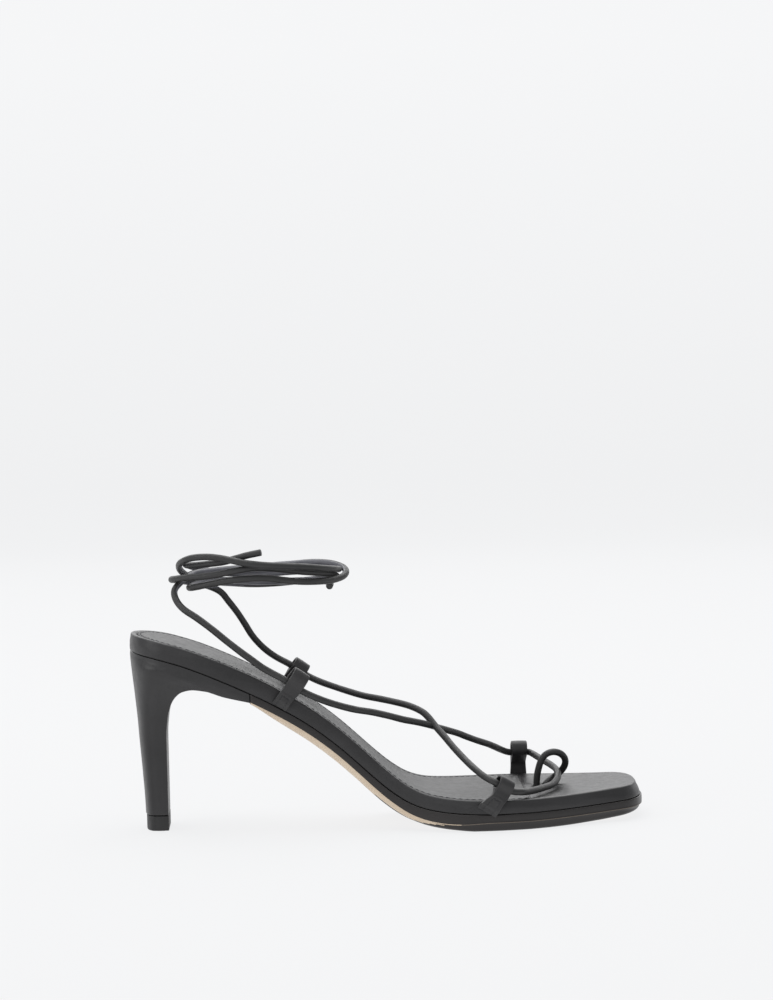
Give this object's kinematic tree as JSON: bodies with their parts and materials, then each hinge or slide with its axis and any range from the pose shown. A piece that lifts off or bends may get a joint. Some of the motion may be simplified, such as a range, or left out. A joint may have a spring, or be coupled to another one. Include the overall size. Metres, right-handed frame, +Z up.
{
  "type": "lace up heeled sandal",
  "caption": "Square-toe leather sandal with a slim high heel, a thin wrapped platform, leather loops and a long round lace that crosses the instep and winds around the ankle.",
  "frame": {"origin": "centre of the heel top piece's floor face", "axes": "+X towards the toe, +Y towards the inner (medial) side, +Z up"},
  "size_m": [0.2255, 0.0885, 0.1231],
  "materials": {
    "platform_leather": "smooth satin black leather",
    "insole_leather": "smooth satin black leather with a stitched edge",
    "sole_leather": "natural beige leather with a black painted edge",
    "heel_leather": "smooth satin black leather cover",
    "top_piece_rubber": "matt black rubber",
    "loop_leather": "smooth satin black leather strap, stitched",
    "lace_cord": "round black leather cord, soft sheen"
  },
  "bodies": {
    "root": {"outsole": "sole_leather", "platform": "platform_leather", "insole_sock": "insole_leather", "heel": "heel_leather", "heel_top_piece": "top_piece_rubber", "loop_forefoot_lateral": "loop_leather", "loop_forefoot_medial": "loop_leather", "loop_midfoot_lateral": "loop_leather", "loop_midfoot_medial": "loop_leather", "toe_ring": "lace_cord", "lace_instep": "lace_cord", "tie_riser_lateral": "lace_cord", "tie_riser_medial": "lace_cord", "ankle_wrap": "lace_cord", "tie_end": "lace_cord"}
  },
  "joints": []
}
